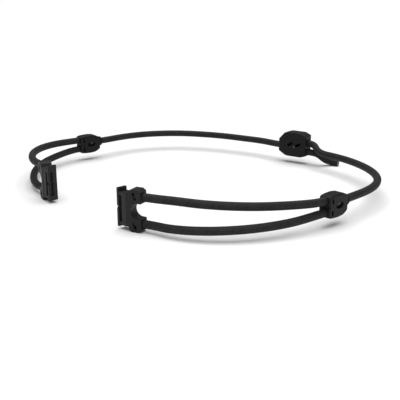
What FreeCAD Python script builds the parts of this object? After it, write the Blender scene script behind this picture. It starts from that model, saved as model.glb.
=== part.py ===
import FreeCAD, Part
import math
import os

# Elastic cord strap with two slotted hook clips, two Y junctions and a rear cord lock.
# Millimetres. +Z up. The origin is on the surface the strap stands on, under the middle of
# the plastic fittings. The loop lies level; its open side, between the clips, faces -X -Y.

os.makedirs("parts", exist_ok=True)

# ---- driving dimensions ----
CORD_D = 3.0
CORD_R = CORD_D / 2
BORE_R = CORD_R + 0.1              # moulded hole that the cord threads through
CLEAR = 0.05                       # gap between pieces that seat in each other

CLIP_HEIGHT = 15.5
CLIP_THICK = 4.4
CLIP_SPACING = 9.66                # between the two cords in a clip
LOOP_Z = CLIP_HEIGHT / 2           # level of the loop's middle plane

JUNCTION_LENGTH = 12.0
JUNCTION_HEIGHT = 8.8
JUNCTION_THICK = 5.0
FORK_SPACING = 4.3                 # between the two cords in a junction
SINGLE_RISE = 0.5                  # the single cord's level above the loop's middle plane

LOCK_LENGTH = 14.5
LOCK_HEIGHT = 11.7
LOCK_THICK = 6.0
LOCK_RISE = 1.4                    # its middle above the loop's middle plane
PORT_IN_Z = 2.45                   # the right cord's way in, above the loop's middle plane
PORT_OUT_Z = -1.75                 # and the tail's way out

# ---- places: point on the fitting's axis, and the heading of its +X axis in degrees ----
RIGHT_CLIP = ((-15.3, -56.0), -26.0)      # at its cord end face, +X towards the cords
LEFT_CLIP = ((-58.6, -13.4), 116.0)
LEFT_JUNCTION = ((-50.4, 52.5), 216.9)    # at its middle, +X towards the cord pair
RIGHT_JUNCTION = ((51.9, -47.8), 222.6)
LOCK = ((49.7, 45.3), -36.0)              # at its middle, +X towards the cord's two ports
SHIFT = (1.29, -0.05)                     # moves the loop so that its fittings' box is centred


# ---- helpers ----
def vec(x, y, z):
    return FreeCAD.Vector(x, y, z)


def place(shape, where):
    """Turn a shape from a fitting's own axes and move it to its place in the loop."""
    (x, y), heading = where
    turn = FreeCAD.Rotation(vec(0, 0, 1), heading)
    spot = vec(x + SHIFT[0], y + SHIFT[1], LOOP_Z)
    placed = shape.copy()
    placed.Placement = FreeCAD.Placement(spot, turn).multiply(shape.Placement)
    return placed


def along(where, distance, height):
    """A point on a fitting's axis, this far along it and this far above the middle plane."""
    (x, y), heading = where
    turn = math.radians(heading)
    return (x + SHIFT[0] + distance * math.cos(turn), y + SHIFT[1] + distance * math.sin(turn),
            LOOP_Z + height)


def box(x0, x1, y0, y1, z0, z1):
    return Part.makeBox(x1 - x0, y1 - y0, z1 - z0, vec(x0, y0, z0))


def rod_x(x0, x1, z, radius):
    """A round rod along X."""
    return Part.makeCylinder(radius, x1 - x0, vec(x0, 0, z), vec(1, 0, 0))


def rod_y(x, z, radius, y0, y1):
    """A round rod along Y."""
    return Part.makeCylinder(radius, y1 - y0, vec(x, y0, z), vec(0, 1, 0))


def cone_x(x0, x1, z, radius0, radius1):
    return Part.makeCone(radius0, radius1, x1 - x0, vec(x0, 0, z), vec(1, 0, 0))


def mirrored_outline(upper):
    """A closed outline from its upper half, listed in (x, z)."""
    return upper + [(x, -z) for x, z in reversed(upper)]


def prism(outline, y0, y1):
    """An (x, z) outline extruded from y0 to y1."""
    points = [vec(x, y0, z) for x, z in outline]
    wire = Part.makePolygon(points + points[:1])
    return Part.Face(wire).extrude(vec(0, y1 - y0, 0))


def rounded(shape, radius):
    """All edges rounded."""
    return shape.makeFillet(radius, shape.Edges)


def slot(x, z, width, height, lean, y0, y1):
    """A round-ended slot cut across Y; lean turns its long axis about Y, in degrees."""
    radius = width / 2
    half = height / 2 - radius
    bar = box(-radius, radius, y0, y1, -half, half)
    ends = [rod_y(0, side * half, radius, y0, y1) for side in (-1, 1)]
    shape = bar.fuse(ends)
    shape.rotate(vec(0, 0, 0), vec(0, 1, 0), lean)
    shape.translate(vec(x, 0, z))
    return shape


def bead(x0, x1, z, radius):
    """A crimped stop on a cord's end, with softened rims."""
    return rounded(rod_x(x0, x1, z, radius), 0.3)


def save(name, shape):
    shape.exportStep("parts/%s.step" % name)
    print("%-24s volume %8.2f  solids %d  valid %s"
          % (name, shape.Volume, len(shape.Solids), shape.isValid()))


# ---- clip ----
CLIP_CORD_Z = CLIP_SPACING / 2
CLIP_STOP = (-3.9, -2.5)           # the stops' span along the clip
CLIP_STOP_R = 1.75
GAP_R = 2.85                       # the rounded gap between the two arms
GAP_X = -1.4                       # the middle of its rounding
BODY_END = -5.3
SEAM = -6.0                        # where the hook seats on the clip body
NECK_HALF = 6.0                    # half the height of the neck between body and hook plate
TONGUE_LENGTH = 0.9
TONGUE_HEIGHT = 8.0
TONGUE_THICK = 2.2

HOOK_AT = (-9.3, 0.8)              # middle of the slotted hook plate
HOOK_TURN = -20.0                  # how far the plate is turned from square, in degrees
HOOK_THICK = 1.1
HOOK_WIDTH = 3.9
HOOK_SPAN = (-6.7, 7.4)            # its bottom and its top
GROOVE_WIDTH = 1.3                 # the groove behind the plate
GROOVE_HALF = 4.75                 # half the height of the groove and of the slot
SLOT_WIDTH = 1.0
SLOT_DEPTH = 0.65                  # it stops inside the plate
SLOT_OFF = -0.6                    # the slot's middle, across the plate
KEYHOLES = ((0.0, 0.85), (-4.0, 0.75))    # the slot's round widenings: height, radius
NOTCH_DEPTH = 0.5
NOTCH_HALF = 0.9


def clip_body():
    """Two arms on a spine, with a rounded gap between them and a stop pocket in each arm."""
    half = CLIP_HEIGHT / 2
    outline = mirrored_outline([(SEAM, NECK_HALF), (BODY_END, NECK_HALF), (-4.7, half - 0.5),
                                (-3.9, half), (-1.2, half), (0, half - 0.8)])
    body = rounded(prism(outline, -CLIP_THICK / 2, CLIP_THICK / 2), 0.4)
    gap = rod_y(GAP_X, 0, GAP_R, -5, 5).fuse(box(GAP_X, 1, -5, 5, -GAP_R, GAP_R))
    body = body.cut(gap)
    for side in (-1, 1):
        z = side * CLIP_CORD_Z
        body = body.cut(rod_x(CLIP_STOP[1], 1, z, BORE_R))
        body = body.cut(cone_x(-0.45, 0.01, z, BORE_R, BORE_R + 0.25))
        body = body.cut(rod_x(CLIP_STOP[0] - 0.3, CLIP_STOP[1] + 0.1, z, CLIP_STOP_R + CLEAR))
        body = body.cut(slot(-2.55, side * 5.3, 1.1, 2.8, -18, -CLIP_THICK, 0))
    pocket = box(SEAM - 1, SEAM + TONGUE_LENGTH + CLEAR, -TONGUE_THICK / 2 - CLEAR,
                 TONGUE_THICK / 2 + CLEAR, -TONGUE_HEIGHT / 2 - CLEAR, TONGUE_HEIGHT / 2 + CLEAR)
    return body.cut(pocket)


def turned(shape):
    """Turn a shape from the hook plate's own axes and move it to the plate's middle."""
    turn = FreeCAD.Rotation(vec(0, 0, 1), HOOK_TURN)
    moved = shape.copy()
    moved.Placement = FreeCAD.Placement(vec(HOOK_AT[0], HOOK_AT[1], 0), turn).multiply(shape.Placement)
    return moved


def clip_hook():
    """A slotted plate, turned from square, on a neck with a tongue that seats in the clip body."""
    seat = SEAM - CLEAR
    half_thick, half_width = HOOK_THICK / 2, HOOK_WIDTH / 2
    plate = turned(rounded(box(-half_thick, half_thick, -half_width, half_width, *HOOK_SPAN), 0.2))
    turn = math.radians(HOOK_TURN)

    def corner(x, y):
        return (HOOK_AT[0] + x * math.cos(turn) - y * math.sin(turn),
                HOOK_AT[1] + x * math.sin(turn) + y * math.cos(turn))

    inset = half_width - 0.2
    plan = [corner(0, -inset), corner(0, inset), (seat, CLIP_THICK / 2 - 0.2),
            (seat, -CLIP_THICK / 2 + 0.2)]
    points = [vec(x, y, -NECK_HALF) for x, y in plan]
    neck = Part.Face(Part.makePolygon(points + points[:1])).extrude(vec(0, 0, 2 * NECK_HALF))
    tongue = box(seat - 0.5, SEAM + TONGUE_LENGTH, -TONGUE_THICK / 2, TONGUE_THICK / 2,
                 -TONGUE_HEIGHT / 2, TONGUE_HEIGHT / 2)
    hook = plate.fuse(neck).fuse(tongue)
    hook = hook.cut(turned(box(half_thick, half_thick + GROOVE_WIDTH, -6, 6, -GROOVE_HALF, GROOVE_HALF)))
    floor = SLOT_DEPTH - half_thick
    hook = hook.cut(turned(box(-2, floor, SLOT_OFF - SLOT_WIDTH / 2,
                               SLOT_OFF + SLOT_WIDTH / 2, -GROOVE_HALF, GROOVE_HALF)))
    for z, radius in KEYHOLES:
        keyhole = rod_x(-2, floor, z, radius)
        keyhole.translate(vec(0, SLOT_OFF, 0))
        hook = hook.cut(turned(keyhole))
    middle = sum(HOOK_SPAN) / 2
    notch_points = [vec(-2, -half_width - 0.1, middle - NOTCH_HALF),
                    vec(-2, -half_width + NOTCH_DEPTH, middle),
                    vec(-2, -half_width - 0.1, middle + NOTCH_HALF)]
    notch = Part.Face(Part.makePolygon(notch_points + notch_points[:1])).extrude(vec(2 + half_thick + 0.2, 0, 0))
    return hook.cut(turned(notch)).removeSplitter()


def clip_stops():
    return Part.makeCompound([bead(CLIP_STOP[0], CLIP_STOP[1], side * CLIP_CORD_Z, CLIP_STOP_R)
                              for side in (-1, 1)])


def make_clip(side, where):
    """The left clip is the right clip's mirror image, so both have their windows outside."""
    for name, shape in (("body", clip_body()), ("hook", clip_hook()), ("stops", clip_stops())):
        if side == "left":
            shape = shape.mirror(vec(0, 0, 0), vec(0, 1, 0))
        save("%s_clip_%s" % (side, name), place(shape, where))


# ---- Y junction ----
FORK_FACE = JUNCTION_LENGTH / 2
SINGLE_FACE = -FORK_FACE
FORK_Z = FORK_SPACING / 2
FORK_STOP = (2.6, 4.4)             # the pair's stops, along the junction
FORK_STOP_R = 1.7
SINGLE_STOP = (-1.5, 0.6)          # the single cord's stop
SINGLE_STOP_R = 1.9
COLLAR_R = 2.25


def junction_body():
    """A lozenge with two bores at its fork end, one at its round collar, and windows."""
    half = JUNCTION_HEIGHT / 2
    outline = mirrored_outline([(-4.7, 2.5), (-3.9, 3.3), (-2.2, half - 0.3), (0.4, half),
                                (3.2, half - 0.1), (4.9, half - 0.3), (FORK_FACE, half - 0.7)])
    body = rounded(prism(outline, -JUNCTION_THICK / 2, JUNCTION_THICK / 2), 0.7)
    collar = rod_x(SINGLE_FACE, -4.0, SINGLE_RISE, COLLAR_R)
    body = body.fuse(rounded(collar, 0.25))
    ring = rod_x(-5.2, -4.8, SINGLE_RISE, COLLAR_R + 1).cut(
        rod_x(-5.3, -4.7, SINGLE_RISE, COLLAR_R - 0.3))
    body = body.cut(ring)
    for side in (-1, 1):
        z = side * FORK_Z
        body = body.cut(rod_x(FORK_STOP[1], FORK_FACE + 1, z, BORE_R))
        body = body.cut(rod_x(FORK_STOP[0] - 0.1, FORK_STOP[1] + 0.05, z, FORK_STOP_R + CLEAR))
        body = body.cut(slot(4.2, z, 0.95, 2.2, 12 * (side + 1) / 2, -5, 5))
    body = body.cut(rod_x(SINGLE_FACE - 1, SINGLE_STOP[0], SINGLE_RISE, BORE_R))
    body = body.cut(rod_x(SINGLE_STOP[0] - 0.05, SINGLE_STOP[1] + 0.1, SINGLE_RISE,
                          SINGLE_STOP_R + CLEAR))
    window = [(-2.1, 0.0), (-1.1, -1.0), (1.3, -1.05), (2.3, -0.5), (2.2, 0.4), (0.9, 1.1), (-1.0, 1.2)]
    body = body.cut(prism(window, -5, -1.1)).cut(prism(window, 1.1, 5))
    saddle = rod_y(FORK_FACE + 0.15, 0, 0.55, -5, 5)
    return body.cut(saddle)


def junction_stops():
    return Part.makeCompound([bead(FORK_STOP[0], FORK_STOP[1], side * FORK_Z, FORK_STOP_R)
                              for side in (-1, 1)])


def junction_end_stop():
    return bead(SINGLE_STOP[0], SINGLE_STOP[1], SINGLE_RISE, SINGLE_STOP_R)


def make_junction(side, where):
    """Both junctions are the same moulding."""
    for name, shape in (("body", junction_body()), ("stops", junction_stops()),
                        ("end_stop", junction_end_stop())):
        save("%s_junction_%s" % (side, name), place(shape, where))


# ---- rear lock ----
LOCK_END = LOCK_LENGTH / 2
LOCK_TOP = LOCK_RISE + LOCK_HEIGHT / 2
LOCK_BOTTOM = LOCK_RISE - LOCK_HEIGHT / 2
LOCK_STOP = (-5.5, -3.5)           # the left cord's stop, along the lock
LOCK_STOP_R = 1.9
TURN_X = -1.35                     # how far the right cord's turn reaches into the lock
CHAMBER = (TURN_X - CORD_R - 0.15, 5.2)
CHAMBER_BOTTOM = PORT_OUT_Z - CORD_R - 0.1
CHAMBER_TOP = PORT_IN_Z + CORD_R + 0.1
COVER_THICK = 1.1
COVER_MARGIN = 0.5                 # the cover's step around the chamber
PIN_X = 1.1
PIN_Z = (PORT_IN_Z + PORT_OUT_Z) / 2
PIN_R = 0.5
PIN_SINK = 0.6                     # how far the pin stops below the outer face


def lock_body():
    """The shell: stop pocket at one end, two ports at the other, chamber between them."""
    inner_face = -LOCK_THICK / 2
    outline = [(-LOCK_END, 3.6), (-4.3, LOCK_TOP - 0.5), (-2.6, LOCK_TOP), (4.4, LOCK_TOP),
               (LOCK_END, LOCK_TOP - 1.2), (LOCK_END, LOCK_BOTTOM + 0.9), (4.4, LOCK_BOTTOM),
               (-2.6, LOCK_BOTTOM), (-3.9, LOCK_BOTTOM + 0.25), (-LOCK_END, -2.3)]
    body = rounded(prism(outline, inner_face, LOCK_THICK / 2), 0.6)
    body = body.cut(rod_x(-LOCK_END - 1, LOCK_STOP[0], 0, BORE_R))
    body = body.cut(rod_x(LOCK_STOP[0] - 0.05, LOCK_STOP[1] + 0.1, 0, LOCK_STOP_R + CLEAR))
    for z in (PORT_IN_Z, PORT_OUT_Z):
        body = body.cut(rod_x(CHAMBER[1] - 1, LOCK_END + 1, z, BORE_R))
        body = body.cut(cone_x(LOCK_END - 0.4, LOCK_END + 0.01, z, BORE_R, BORE_R + 0.3))
    body = body.cut(box(CHAMBER[0], CHAMBER[1], inner_face - 1, BORE_R, CHAMBER_BOTTOM, CHAMBER_TOP))
    body = body.cut(box(CHAMBER[0] - COVER_MARGIN, CHAMBER[1] + COVER_MARGIN, inner_face - 1,
                        inner_face + COVER_THICK, CHAMBER_BOTTOM - COVER_MARGIN,
                        CHAMBER_TOP + COVER_MARGIN))
    return body.cut(rod_y(PIN_X, PIN_Z, PIN_R + 0.02, -5, LOCK_THICK / 2 - PIN_SINK + CLEAR))


def lock_cover():
    """A plate that closes the chamber, with two leaning slots that show the cord."""
    inner_face = -LOCK_THICK / 2
    edge = COVER_MARGIN - CLEAR
    plate = box(CHAMBER[0] - edge, CHAMBER[1] + edge, inner_face, inner_face + COVER_THICK - CLEAR,
                CHAMBER_BOTTOM - edge, CHAMBER_TOP + edge)
    plate = plate.makeFillet(0.6, [e for e in plate.Edges if abs(e.Length - COVER_THICK + CLEAR) < 1e-6])
    for x in (-0.9, 3.2):
        plate = plate.cut(slot(x, 1.5, 1.3, 3.4, 62, -5, 0))
    return plate.cut(rod_y(PIN_X, PIN_Z, PIN_R + 0.02, -5, 0))


def lock_pin():
    """The pin that the cord turns around."""
    return rod_y(PIN_X, PIN_Z, PIN_R, -LOCK_THICK / 2 + 0.1, LOCK_THICK / 2 - PIN_SINK)


def make_lock():
    save("lock_body", place(lock_body(), LOCK))
    save("lock_cover", place(lock_cover(), LOCK))
    save("lock_pin", place(lock_pin(), LOCK))
    save("lock_stop", place(bead(LOCK_STOP[0], LOCK_STOP[1], 0, LOCK_STOP_R), LOCK))


# ---- cords ----
def cord_path(points):
    """Straight runs joined by tangent arcs; each arc is as large as its two runs allow."""
    corners = [vec(*p) for p in points]
    edges = []
    radii = []
    start = corners[0]
    for before, corner, after in zip(corners, corners[1:], corners[2:]):
        into = corner - before
        out = after - corner
        tangent = 0.45 * min(into.Length, out.Length)
        half_turn = into.getAngle(out) / 2
        radii.append(tangent / math.tan(half_turn))
        into.normalize()
        out.normalize()
        first = corner - into * tangent
        last = corner + out * tangent
        pull = out - into
        pull.normalize()
        sag = radii[-1] * (1 / math.cos(half_turn) - 1)
        edges.append(Part.LineSegment(start, first).toShape())
        edges.append(Part.Arc(first, corner + pull * sag, last).toShape())
        start = last
    edges.append(Part.LineSegment(start, corners[-1]).toShape())
    return Part.Wire(edges), radii


def make_cord(name, points):
    """A round tube along a route, checked against its section times its length."""
    path, radii = cord_path(points)
    heading = vec(*points[1]) - vec(*points[0])
    section = Part.Wire(Part.makeCircle(CORD_R, vec(*points[0]), heading))
    tube = path.makePipeShell([section], True, False)
    expected = math.pi * CORD_R ** 2 * path.Length
    save(name, tube)
    print("    length %.1f  volume / expected %.4f  radii %s"
          % (path.Length, tube.Volume / expected, " ".join("%.1f" % r for r in radii)))


def lift(points):
    """Route points with heights counted from the loop's middle plane."""
    return [(x + SHIFT[0], y + SHIFT[1], LOOP_Z + z) for x, y, z in points]


CLIP_IN = CLIP_STOP[1]             # a cord starts at its stop inside the clip
CLIP_OUT = 3.5                     # and leaves straight for this far
FORK_IN = FORK_STOP[1]
FORK_OUT = 9.0
SINGLE_IN = SINGLE_STOP[0]
SINGLE_OUT = -9.0

YOKE_ROUTES = {
    "right_yoke_cord_upper": (1, [(-4.3, -59.0, 4.4), (4.3, -61.5, 4.0), (14.5, -62.1, 3.5),
                                  (25.5, -61.2, 3.1), (36.6, -58.1, 2.7)]),
    "right_yoke_cord_lower": (-1, [(-6.5, -62.2, -4.5), (1.5, -65.4, -4.1), (11.0, -66.6, -3.7),
                                   (22.5, -65.4, -3.3), (35.0, -60.9, -2.8)]),
    "left_yoke_cord_upper": (1, [(-65.3, -2.0, 4.4), (-68.5, 8.4, 4.0), (-69.8, 18.9, 3.5),
                                 (-68.6, 29.1, 3.1), (-64.5, 38.7, 2.7)]),
    "left_yoke_cord_lower": (-1, [(-64.3, -5.5, -4.5), (-67.6, 4.6, -4.1), (-68.8, 16.0, -3.6),
                                  (-67.6, 26.6, -3.2), (-64.0, 36.6, -2.8)]),
}

LEFT_MAIN = [(-35.5, 66.3, 0.4), (-26.2, 72.0, 0.4), (-15.9, 75.2, 0.3), (-5.1, 75.5, 0.3),
             (5.8, 73.2, 0.2), (16.3, 69.0, 0.2), (26.2, 63.4, 0.1), (35.2, 57.7, 0.1)]

RIGHT_MAIN = [(68.5, -30.9, 0.4), (73.6, -21.3, 0.4), (75.8, -11.2, 0.3), (75.4, -0.9, 0.2),
              (72.8, 8.9, 0.2), (69.0, 17.7, 0.1), (64.8, 24.5, 0.0), (60.5, 28.9, 0.1),
              (58.7, 33.5, 0.6)]

TAIL = [(59.9, 38.2, -2.1), (63.2, 37.8, -4.9), (66.4, 38.9, -6.17), (69.4, 36.8, -6.21)]


def make_yoke_cords():
    for name, (level, middle) in YOKE_ROUTES.items():
        clip, junction = (LEFT_CLIP, LEFT_JUNCTION)
        if name.startswith("right"):
            clip, junction = (RIGHT_CLIP, RIGHT_JUNCTION)
        points = [along(clip, CLIP_IN, level * CLIP_CORD_Z), along(clip, CLIP_OUT, level * CLIP_CORD_Z)]
        points += lift(middle)
        points += [along(junction, FORK_OUT, level * FORK_Z), along(junction, FORK_IN, level * FORK_Z)]
        make_cord(name, points)


def make_main_cords():
    left = [along(LEFT_JUNCTION, SINGLE_IN, SINGLE_RISE), along(LEFT_JUNCTION, SINGLE_OUT, SINGLE_RISE)]
    left += lift(LEFT_MAIN)
    left += [along(LOCK, -LOCK_END - 2.2, 0), along(LOCK, LOCK_STOP[0], 0)]
    make_cord("left_main_cord", left)
    right = [along(RIGHT_JUNCTION, SINGLE_IN, SINGLE_RISE), along(RIGHT_JUNCTION, SINGLE_OUT, SINGLE_RISE)]
    right += lift(RIGHT_MAIN)
    right += [along(LOCK, LOCK_END + 3.0, PORT_IN_Z), along(LOCK, LOCK_END, PORT_IN_Z)]
    make_cord("right_main_cord", right)


def make_tail():
    """The right cord's end: in at the upper port, round the pin, out to a loose tail."""
    points = [along(LOCK, LOCK_END, PORT_IN_Z), along(LOCK, TURN_X, PORT_IN_Z),
              along(LOCK, TURN_X, PORT_OUT_Z), along(LOCK, LOCK_END + 1.5, PORT_OUT_Z)]
    make_cord("tail_cord", points + lift(TAIL))


make_clip("right", RIGHT_CLIP)
make_clip("left", LEFT_CLIP)
make_junction("right", RIGHT_JUNCTION)
make_junction("left", LEFT_JUNCTION)
make_lock()
make_yoke_cords()
make_main_cords()
make_tail()
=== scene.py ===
import math

import bpy
import numpy as np
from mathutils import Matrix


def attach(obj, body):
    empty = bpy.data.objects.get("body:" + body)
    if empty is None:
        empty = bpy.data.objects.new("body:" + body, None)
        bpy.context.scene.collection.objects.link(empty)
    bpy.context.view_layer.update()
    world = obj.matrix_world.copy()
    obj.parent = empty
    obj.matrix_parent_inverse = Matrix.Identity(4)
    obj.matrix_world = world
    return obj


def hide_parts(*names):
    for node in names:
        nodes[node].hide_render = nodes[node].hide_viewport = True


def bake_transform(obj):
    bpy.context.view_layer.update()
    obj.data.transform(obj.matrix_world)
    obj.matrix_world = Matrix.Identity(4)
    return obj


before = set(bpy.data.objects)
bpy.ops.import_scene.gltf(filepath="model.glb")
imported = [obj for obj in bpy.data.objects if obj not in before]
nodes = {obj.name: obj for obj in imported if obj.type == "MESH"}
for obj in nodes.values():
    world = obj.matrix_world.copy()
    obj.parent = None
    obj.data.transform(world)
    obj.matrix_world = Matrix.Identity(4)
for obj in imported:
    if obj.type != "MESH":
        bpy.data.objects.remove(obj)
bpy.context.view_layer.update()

# Elastic cord strap. Metres, in the CAD frame: +Z up, the open front faces -X -Y.

# ---- routes: each cord's control points, as in the CAD source ----
ROUTES = {
    "right_yoke_cord_upper": [
        (-0.01626, -0.05495, 0.01258), (-0.01086, -0.05758, 0.01258), (-0.00301, -0.05905, 0.01215),
        (0.00559, -0.06155, 0.01175), (0.01579, -0.06215, 0.01125), (0.02679, -0.06125, 0.01085),
        (0.03789, -0.05815, 0.01045), (0.04657, -0.05394, 0.00990), (0.04995, -0.05083, 0.00990)],
    "right_yoke_cord_lower": [
        (-0.01626, -0.05495, 0.00292), (-0.01086, -0.05758, 0.00292), (-0.00521, -0.06225, 0.00325),
        (0.00279, -0.06545, 0.00365), (0.01229, -0.06665, 0.00405), (0.02379, -0.06545, 0.00445),
        (0.03629, -0.06095, 0.00495), (0.04657, -0.05394, 0.00560), (0.04995, -0.05083, 0.00560)],
    "left_yoke_cord_upper": [
        (-0.05621, -0.01570, 0.01258), (-0.05884, -0.01030, 0.01258), (-0.06401, -0.00205, 0.01215),
        (-0.06721, 0.00835, 0.01175), (-0.06851, 0.01885, 0.01125), (-0.06731, 0.02905, 0.01085),
        (-0.06321, 0.03865, 0.01045), (-0.05631, 0.04705, 0.00990), (-0.05263, 0.04981, 0.00990)],
    "left_yoke_cord_lower": [
        (-0.05621, -0.01570, 0.00292), (-0.05884, -0.01030, 0.00292), (-0.06301, -0.00555, 0.00325),
        (-0.06631, 0.00455, 0.00365), (-0.06751, 0.01595, 0.00415), (-0.06631, 0.02655, 0.00455),
        (-0.06271, 0.03655, 0.00495), (-0.05631, 0.04705, 0.00560), (-0.05263, 0.04981, 0.00560)],
    "left_main_cord": [
        (-0.04791, 0.05335, 0.00825), (-0.04191, 0.05785, 0.00825), (-0.03421, 0.06625, 0.00815),
        (-0.02491, 0.07195, 0.00815), (-0.01461, 0.07515, 0.00805), (-0.00381, 0.07545, 0.00805),
        (0.00709, 0.07315, 0.00795), (0.01759, 0.06895, 0.00795), (0.02749, 0.06335, 0.00785),
        (0.03649, 0.05765, 0.00785), (0.04334, 0.05080, 0.00775), (0.04654, 0.04848, 0.00775)],
    "right_main_cord": [
        (0.05429, -0.04683, 0.00825), (0.05981, -0.04176, 0.00825), (0.06979, -0.03095, 0.00815),
        (0.07489, -0.02135, 0.00815), (0.07709, -0.01125, 0.00805), (0.07669, -0.00095, 0.00795),
        (0.07409, 0.00885, 0.00795), (0.07029, 0.01765, 0.00785), (0.06609, 0.02445, 0.00775),
        (0.06179, 0.02885, 0.00785), (0.05999, 0.03345, 0.00835), (0.05928, 0.03923, 0.01020),
        (0.05686, 0.04099, 0.01020)],
    "tail_cord": [
        (0.05686, 0.04099, 0.01020), (0.04990, 0.04604, 0.01020), (0.04990, 0.04604, 0.00600),
        (0.05807, 0.04011, 0.00600), (0.06119, 0.03815, 0.00565), (0.06449, 0.03775, 0.00285),
        (0.06769, 0.03885, 0.00158), (0.07069, 0.03675, 0.00154)],
}


def spline_line(points):
    """The points along a cord's smooth line, a NURBS spline with the route as its control points."""
    curve = bpy.data.curves.new("line", "CURVE")
    curve.dimensions = "3D"
    curve.resolution_u = 32
    spline = curve.splines.new("NURBS")
    spline.points.add(len(points) - 1)
    for point, place in zip(spline.points, points):
        point.co = (*place, 1.0)
    spline.order_u = 3
    spline.use_endpoint_u = True
    holder = bpy.data.objects.new("line", curve)
    mesh = bpy.data.meshes.new_from_object(holder)
    line = np.array([v.co for v in mesh.vertices], float)
    bpy.data.meshes.remove(mesh)
    bpy.data.objects.remove(holder)
    bpy.data.curves.remove(curve)
    return line


# ---- materials ----
def new_material(name):
    material = bpy.data.materials.new(name)
    material.use_nodes = True
    tree = material.node_tree
    return material, tree, tree.nodes["Principled BSDF"]


def add(tree, kind, **values):
    """A node with its properties and its input sockets set by name."""
    node = tree.nodes.new(kind)
    for key, value in values.items():
        if key in node.inputs:
            node.inputs[key].default_value = value
        else:
            setattr(node, key, value)
    return node


def object_coordinates(tree):
    return add(tree, "ShaderNodeTexCoord").outputs["Object"]


def noise(tree, coord, **values):
    node = add(tree, "ShaderNodeTexNoise", **values)
    tree.links.new(coord, node.inputs["Vector"])
    return node.outputs["Fac"]


def mapped(tree, source, low=0.0, high=1.0, to_low=0.0, to_high=1.0):
    """One range mapped onto another, and clamped to it."""
    node = add(tree, "ShaderNodeMapRange", clamp=True)
    for socket, value in (("From Min", low), ("From Max", high), ("To Min", to_low), ("To Max", to_high)):
        node.inputs[socket].default_value = value
    tree.links.new(source, node.inputs["Value"])
    return node.outputs["Result"]


def combined(tree, operation, first, second):
    """Two values added or multiplied; the second is another node's output or a plain number."""
    node = add(tree, "ShaderNodeMath", operation=operation)
    tree.links.new(first, node.inputs[0])
    if isinstance(second, float):
        node.inputs[1].default_value = second
    else:
        tree.links.new(second, node.inputs[1])
    return node.outputs[0]


def grey(value):
    return (value, value, value)


def shaded(tree, source, low, high):
    """A grey that runs between two stops, each a place and a tone."""
    node = tree.nodes.new("ShaderNodeValToRGB")
    for element, (place, tone) in zip(node.color_ramp.elements, (low, high)):
        element.position = place
        element.color = (*grey(tone), 1.0)
    tree.links.new(source, node.inputs["Fac"])
    return node.outputs["Color"]


def bumped(tree, shader, height, strength, distance, normal=None):
    """Relief on the shader's surface, over another normal where one is given."""
    bump = add(tree, "ShaderNodeBump", Strength=strength, Distance=distance)
    tree.links.new(height, bump.inputs["Height"])
    if normal is not None:
        tree.links.new(normal, bump.inputs["Normal"])
    tree.links.new(bump.outputs["Normal"], shader.inputs["Normal"])


EDGE_RADIUS = 0.00018          # how round a moulded edge looks
MOTTLE_SCALE = 420.0
SCUFF_SCALE = 1500.0
WEAR = 0.55                    # how far a worn edge goes towards its paler tone
WORN_TONE = 2.6                # that tone over the plastic's own


def edge_wear(tree, coord, soft_normal):
    """How worn a spot is: nothing on open faces, patches along the edges."""
    geometry = add(tree, "ShaderNodeNewGeometry")
    turn = add(tree, "ShaderNodeVectorMath", operation="DOT_PRODUCT")
    tree.links.new(soft_normal, turn.inputs[0])
    tree.links.new(geometry.outputs["Normal"], turn.inputs[1])
    edge = mapped(tree, turn.outputs["Value"], 0.985, 0.86)
    scuffs = noise(tree, coord, Scale=SCUFF_SCALE, Detail=4.0, Roughness=0.7)
    worn = combined(tree, "MULTIPLY", edge, mapped(tree, scuffs, 0.42, 0.62))
    return combined(tree, "MULTIPLY", worn, WEAR)


def moulded_grain(tree, coord, grain):
    """The height of a spark-eroded mould's grain."""
    pits = add(tree, "ShaderNodeTexVoronoi", Scale=1.0 / grain, feature="SMOOTH_F1")
    tree.links.new(coord, pits.inputs["Vector"])
    speck = noise(tree, coord, Scale=1.6 / grain, Detail=3.0)
    return combined(tree, "ADD", pits.outputs["Distance"], speck)


def plastic(name, tone, grain, roughness, specular):
    """Black moulded plastic: fine spark-eroded grain, faint mottling, edges worn a little paler."""
    material, tree, shader = new_material(name)
    link = tree.links.new
    coord = object_coordinates(tree)
    soft = add(tree, "ShaderNodeBevel", samples=6, Radius=EDGE_RADIUS).outputs["Normal"]

    mottle = noise(tree, coord, Scale=MOTTLE_SCALE, Detail=5.0, Roughness=0.6)
    colour = add(tree, "ShaderNodeMix", data_type="RGBA")
    link(edge_wear(tree, coord, soft), colour.inputs["Factor"])
    link(shaded(tree, mottle, (0.3, tone * 0.82), (0.7, tone * 1.2)), colour.inputs[6])
    colour.inputs[7].default_value = (*grey(tone * WORN_TONE), 1.0)
    link(colour.outputs[2], shader.inputs["Base Color"])

    rough = mapped(tree, mottle, to_low=roughness - 0.08, to_high=roughness + 0.08)
    link(rough, shader.inputs["Roughness"])
    bumped(tree, shader, moulded_grain(tree, coord, grain), 0.35, grain * 0.25, soft)
    shader.inputs["Specular IOR Level"].default_value = specular
    return material


def steel(name):
    """Blackened steel with drawn scratches."""
    material, tree, shader = new_material(name)
    scratches = noise(tree, object_coordinates(tree), Scale=2600.0, Detail=4.0)
    tree.links.new(shaded(tree, scratches, (0.3, 0.05), (0.75, 0.12)), shader.inputs["Base Color"])
    bumped(tree, shader, scratches, 0.2, 0.00002)
    shader.inputs["Metallic"].default_value = 1.0
    shader.inputs["Roughness"].default_value = 0.35
    return material


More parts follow.
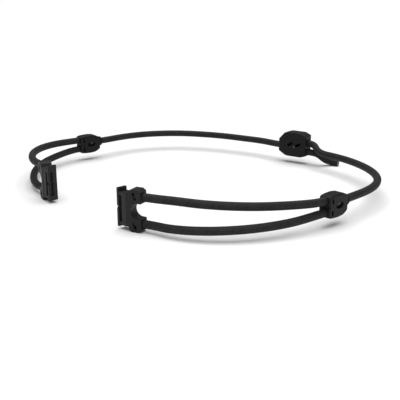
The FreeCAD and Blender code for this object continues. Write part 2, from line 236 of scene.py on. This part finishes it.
def braid_yarn(name):
    """Textured polyester yarn: fine filaments along each strand, tone varying from strand to strand."""
    material, tree, shader = new_material(name)
    link = tree.links.new
    stretch = add(tree, "ShaderNodeMapping", Scale=(2.2, 9.0, 1.0))
    link(add(tree, "ShaderNodeTexCoord").outputs["UV"], stretch.inputs["Vector"])
    filaments = noise(tree, stretch.outputs["Vector"], Scale=1.0, Detail=3.0, Roughness=0.55)
    strand = add(tree, "ShaderNodeAttribute", attribute_name="strand_tone")
    mean = combined(tree, "MULTIPLY", combined(tree, "ADD", filaments, strand.outputs["Fac"]), 0.5)
    link(shaded(tree, mean, (0.2, 0.006), (0.8, 0.015)), shader.inputs["Base Color"])
    bumped(tree, shader, filaments, 0.6, 0.00004)
    shader.inputs["Roughness"].default_value = 0.62
    shader.inputs["Specular IOR Level"].default_value = 0.26
    shader.inputs["Sheen Weight"].default_value = 0.03
    shader.inputs["Sheen Roughness"].default_value = 0.4
    return material


def plain(name, tone, roughness, bump_scale, bump_height):
    """A dark piece with a faint uneven tone and relief."""
    material, tree, shader = new_material(name)
    uneven = noise(tree, object_coordinates(tree), Scale=bump_scale, Detail=4.0)
    tree.links.new(shaded(tree, uneven, (0.3, tone * 0.7), (0.7, tone * 1.3)), shader.inputs["Base Color"])
    bumped(tree, shader, uneven, 0.5, bump_height)
    shader.inputs["Roughness"].default_value = roughness
    return material


CLIP = plastic("clip_plastic", 0.007, 0.00014, 0.54, 0.26)
HOOK = plastic("hook_plastic", 0.008, 0.00012, 0.5, 0.28)
JUNCTION = plastic("junction_plastic", 0.0055, 0.00014, 0.54, 0.2)
LOCK = plastic("lock_plastic", 0.0055, 0.00014, 0.54, 0.2)
STOP = plain("stop_plastic", 0.008, 0.4, 1800.0, 0.00002)
STEEL = steel("pin_steel")
YARN = braid_yarn("cord_yarn")
CORE = plain("cord_core", 0.005, 0.8, 3000.0, 0.00003)
SEALED = plain("cord_sealed_end", 0.008, 0.32, 1400.0, 0.00012)

FINISH = {"clip_body": CLIP, "clip_hook": HOOK, "clip_stops": STOP, "junction_body": JUNCTION,
          "junction_stops": STOP, "junction_end_stop": STOP, "lock_body": LOCK,
          "lock_cover": LOCK, "lock_pin": STEEL, "lock_stop": STOP}

for name, node in nodes.items():
    for ending, material in FINISH.items():
        if name.endswith(ending):
            node.data.materials.clear()
            node.data.materials.append(material)


# ---- braided cord ----
CARRIERS = 8                   # strands that wind each way
PITCH = 0.0082                 # a strand's advance in one turn
STRAND_WIDTH = 0.00081
STRAND_MIDDLE = 0.00142        # a strand's edge from the cord's centre, halfway between over and under
STRAND_SWING = 0.00006         # how far it goes out and in as it crosses the others
STRAND_CROWN = 0.00008         # how much its middle stands above its edges
STEP = 0.00024                 # spacing of a strand's rings
ACROSS = 5                     # points across a strand

CORE_R = 0.00131
CORE_STEP = 0.0006
CORE_AROUND = 17

CAP_R = 0.00146                # the sealed cap on a loose end
CAP_SKIRT_R = 0.00148
CAP_SKIRT = 0.0009             # how far the cap reaches back over the braid
CAP_EDGE = 0.00035             # where its dome starts, behind the cord's end
CAP_DOME = 0.00045
CAP_UNEVEN = 0.04

YARN_SLOT, CORE_SLOT, SEALED_SLOT = range(3)


class Line:
    """A cord's line with directions across it that don't twist, to be read at any distance."""

    def __init__(self, points):
        gaps = np.linalg.norm(np.diff(points, axis=0), axis=1)
        keep = np.concatenate([[True], gaps > 1e-7])
        self.points = points[keep]
        self.at = np.concatenate([[0], np.cumsum(np.linalg.norm(np.diff(self.points, axis=0), axis=1))])
        self.length = self.at[-1]
        tangents = np.gradient(self.points, self.at, axis=0)
        tangents /= np.linalg.norm(tangents, axis=1)[:, None]
        side = np.cross(tangents[0], (0, 0, 1))
        side /= np.linalg.norm(side)
        sides = [side]
        for tangent in tangents[1:]:
            side = side - tangent * (side @ tangent)
            side = side / np.linalg.norm(side)
            sides.append(side)
        self.sides = np.array(sides)
        self.ups = np.cross(self.sides, tangents)

    def read(self, values, distance):
        return np.stack([np.interp(distance, self.at, values[:, k]) for k in range(3)], axis=-1)

    def point(self, distance, angle, radius):
        """A point this far along, turned by this angle about the line and this far from it."""
        out = (self.read(self.sides, distance) * np.cos(angle)[..., None]
               + self.read(self.ups, distance) * np.sin(angle)[..., None])
        out /= np.linalg.norm(out, axis=-1)[..., None]
        return self.read(self.points, distance) + out * radius[..., None]


class GridMesh:
    """Grids of points gathered into one mesh, each with its UVs, its tone and its material."""

    def __init__(self):
        self.points, self.quads, self.uvs, self.tones, self.finish = [], [], [], [], []
        self.count = 0

    def add(self, grid, u, v, tone, slot, flip=False):
        rows, columns = grid.shape[:2]
        starts = np.arange(rows - 1)[:, None] * columns + np.arange(columns - 1)[None, :]
        start = starts.ravel() + self.count
        faces = np.stack([start, start + 1, start + columns + 1, start + columns], axis=1)
        if flip:
            faces = faces[:, ::-1]
        both = [np.broadcast_to(u, (rows, columns)), np.broadcast_to(v, (rows, columns))]
        self.points.append(grid.reshape(-1, 3))
        self.quads.append(faces)
        self.uvs.append(np.stack(both, axis=-1).reshape(-1, 2))
        self.tones.append(np.full(rows * columns, tone))
        self.finish.append(np.full(len(faces), slot))
        self.count += rows * columns

    def build(self, name):
        mesh = bpy.data.meshes.new(name)
        vertices, faces = np.vstack(self.points), np.vstack(self.quads)
        mesh.vertices.add(len(vertices))
        mesh.vertices.foreach_set("co", vertices.astype(np.float32).ravel())
        mesh.loops.add(faces.size)
        mesh.loops.foreach_set("vertex_index", faces.astype(np.int32).ravel())
        mesh.polygons.add(len(faces))
        mesh.polygons.foreach_set("loop_start", np.arange(0, faces.size, 4, dtype=np.int32))
        mesh.polygons.foreach_set("loop_total", np.full(len(faces), 4, np.int32))
        mesh.polygons.foreach_set("material_index", np.concatenate(self.finish).astype(np.int32))
        mesh.polygons.foreach_set("use_smooth", np.ones(len(faces), bool))
        layer = mesh.uv_layers.new(name="UVMap")
        layer.data.foreach_set("uv", np.vstack(self.uvs)[faces.ravel()].astype(np.float32).ravel())
        tone = mesh.attributes.new("strand_tone", "FLOAT", "POINT")
        tone.data.foreach_set("value", np.concatenate(self.tones).astype(np.float32))
        mesh.update()
        mesh.validate()
        return mesh


def twill(phase):
    """+1 while a strand is over two others and -1 while it is under the next two."""
    wave = np.cos((phase - 0.5) * math.pi / 2)
    return np.clip(wave * 1.5, -1, 1)


def add_core(braid, line):
    """The dark tube that shows between the strands."""
    along = np.linspace(0, line.length, max(2, round(line.length / CORE_STEP)))
    around = np.linspace(0, 2 * math.pi, CORE_AROUND)
    shape = (len(along), CORE_AROUND)
    core = line.point(np.broadcast_to(along[:, None], shape), np.broadcast_to(around[None, :], shape),
                      np.full(shape, CORE_R))
    braid.add(core, along[:, None] * 1000, around[None, :], 0.5, CORE_SLOT, True)


def add_strands(braid, line):
    """Two sets of strands that wind opposite ways, each over two and under two of the other set."""
    rng = np.random.default_rng(7)
    along = np.linspace(0, line.length, max(8, round(line.length / STEP)))
    lean = math.atan2(2 * math.pi * STRAND_MIDDLE, PITCH)
    across = np.linspace(-1, 1, ACROSS)[None, :]
    offset = across * STRAND_WIDTH / 2
    crossings = along * 2 * CARRIERS / PITCH
    for way in (1, -1):
        for i in range(CARRIERS):
            turned = way * 2 * math.pi * along / PITCH + 2 * math.pi * i / CARRIERS
            swing = way * twill(2 * i + way * crossings)
            distance = np.clip(along[:, None] - way * offset * math.sin(lean), 0, line.length)
            angle = turned[:, None] + offset * math.cos(lean) / STRAND_MIDDLE
            radius = STRAND_MIDDLE + STRAND_SWING * swing[:, None] + STRAND_CROWN * (1 - across ** 2)
            strand = line.point(distance, angle, radius)
            braid.add(strand, along[:, None] * 1000 / math.cos(lean), across + 3 * i + 40 * (way + 1),
                      rng.random(), YARN_SLOT, way < 0)


def add_sealed_cap(braid, line):
    """A melted, slightly uneven dome over a loose end."""
    around = np.linspace(0, 2 * math.pi, 21)
    rise = np.linspace(0, math.pi / 2, 7)
    dome = np.cos(rise)[:, None] * CAP_R * (1 + CAP_UNEVEN * np.sin(3 * around + 1)[None, :])
    radius = np.vstack([np.full((1, len(around)), CAP_SKIRT_R), dome])
    reach = np.concatenate([[-CAP_SKIRT], -CAP_EDGE + CAP_DOME * np.sin(rise)])
    end = line.points[-1]
    ahead = end - line.points[-2]
    ahead /= np.linalg.norm(ahead)
    out = line.sides[-1] * np.cos(around)[:, None] + line.ups[-1] * np.sin(around)[:, None]
    cap = end + radius[..., None] * out[None, :, :] + reach[:, None, None] * ahead
    braid.add(cap, around[None, :], reach[:, None] * 1000, 0.5, SEALED_SLOT, True)


def braid_mesh(name, line, loose_end):
    braid = GridMesh()
    add_core(braid, line)
    add_strands(braid, line)
    if loose_end:
        add_sealed_cap(braid, line)
    return braid.build(name)


def make_cord(name, loose_end=False):
    line = Line(spline_line(ROUTES[name]))
    cord = bpy.data.objects.new("braided_" + name, braid_mesh("braided_" + name, line, loose_end))
    bpy.context.scene.collection.objects.link(cord)
    for material in (YARN, CORE, SEALED):
        cord.data.materials.append(material)
    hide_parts(name)
    return cord, line


for side, near in (("right", "right_side"), ("left", "lock_side")):
    for level in ("upper", "lower"):
        cord, line = make_cord("%s_yoke_cord_%s" % (side, level))
        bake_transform(cord)

cord, line = make_cord("left_main_cord")
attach(cord, "lock_side")

cord, line = make_cord("right_main_cord")
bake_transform(cord)

cord, line = make_cord("tail_cord", loose_end=True)
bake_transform(cord)


# ---- floor, light and camera ----
FLOOR_HALF = 30.0
FLOOR_TONE = 0.92
SKY_STRENGTH = 0.2
SOFTBOX_STRENGTH = 2.9         # a broad, soft light from nearly straight above
SOFTBOX_ANGLE = 75.0
SOFTBOX_TILT = -4.0
FILL_POWER = 0.12              # a small lamp over the camera, which favours the front of the loop
FILL_SIZE = 0.10
FILL_PLACE = (0.0, -0.245, 0.145)
FILL_TILT = 52.0
CAMERA_LENS = 63.0
CAMERA_SENSOR = 36.0
CAMERA_PLACE = (0.00529, -0.28545, 0.08179)
CAMERA_TILT = 73.0


def put(name, data, place=(0.0, 0.0, 0.0), tilt=0.0):
    """An object in the scene, tilted about X by this many degrees."""
    thing = bpy.data.objects.new(name, data)
    bpy.context.scene.collection.objects.link(thing)
    thing.location = place
    thing.rotation_euler = (math.radians(tilt), 0.0, 0.0)
    return thing


def make_floor():
    material, _, shader = new_material("floor")
    shader.inputs["Base Color"].default_value = (*grey(FLOOR_TONE), 1.0)
    shader.inputs["Roughness"].default_value = 0.9
    shader.inputs["Specular IOR Level"].default_value = 0.1
    corners = [(x * FLOOR_HALF, y * FLOOR_HALF, 0) for x, y in ((-1, -1), (1, -1), (1, 1), (-1, 1))]
    mesh = bpy.data.meshes.new("floor")
    mesh.from_pydata(corners, [], [(0, 1, 2, 3)])
    mesh.materials.append(material)
    put("floor", mesh)


def make_light():
    world = bpy.data.worlds.new("studio")
    bpy.context.scene.world = world
    world.use_nodes = True
    sky = world.node_tree.nodes["Background"]
    sky.inputs["Color"].default_value = (1.0, 1.0, 1.0, 1.0)
    sky.inputs["Strength"].default_value = SKY_STRENGTH
    bpy.context.scene.view_settings.view_transform = "Standard"

    softbox = bpy.data.lights.new("softbox", "SUN")
    softbox.energy = SOFTBOX_STRENGTH
    softbox.angle = math.radians(SOFTBOX_ANGLE)
    put("softbox", softbox, tilt=SOFTBOX_TILT)

    fill = bpy.data.lights.new("front_fill", "AREA")
    fill.shape = "DISK"
    fill.size = FILL_SIZE
    fill.energy = FILL_POWER
    put("front_fill", fill, FILL_PLACE, FILL_TILT)


def make_camera():
    camera = bpy.data.cameras.new("camera")
    camera.lens = CAMERA_LENS
    camera.sensor_width = CAMERA_SENSOR
    camera.clip_start = 0.01
    camera.clip_end = 100.0
    bpy.context.scene.camera = put("camera", camera, CAMERA_PLACE, CAMERA_TILT)


make_floor()
make_light()
make_camera()
